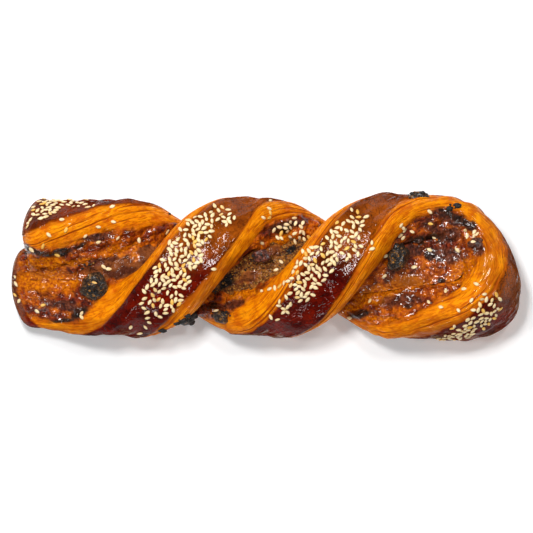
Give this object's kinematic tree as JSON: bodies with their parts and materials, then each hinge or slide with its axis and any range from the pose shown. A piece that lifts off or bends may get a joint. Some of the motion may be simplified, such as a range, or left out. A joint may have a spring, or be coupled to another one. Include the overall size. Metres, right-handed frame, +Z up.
{
  "type": "pastry twist",
  "caption": "Baked pastry twist: a strip of layered dough folded in half over dark fruit filling and twisted, with raisins and sesame seeds.",
  "frame": {"origin": "centre of the pastry's outline seen from above, on the plane it lies on", "axes": "+X along the pastry from its two loose ends to its fold, +Y across it, +Z up"},
  "size_m": [0.2196, 0.0639, 0.0409],
  "materials": {
    "dough": "baked, glazed crust",
    "filling": "moist crumb",
    "raisin": "dark, wrinkled, slightly shiny"
  },
  "bodies": {
    "root": {"dough": "dough", "filling": "filling", "raisin_1": "raisin", "raisin_2": "raisin", "raisin_3": "raisin", "raisin_4": "raisin", "raisin_5": "raisin", "raisin_6": "raisin", "raisin_7": "raisin"}
  },
  "joints": []
}
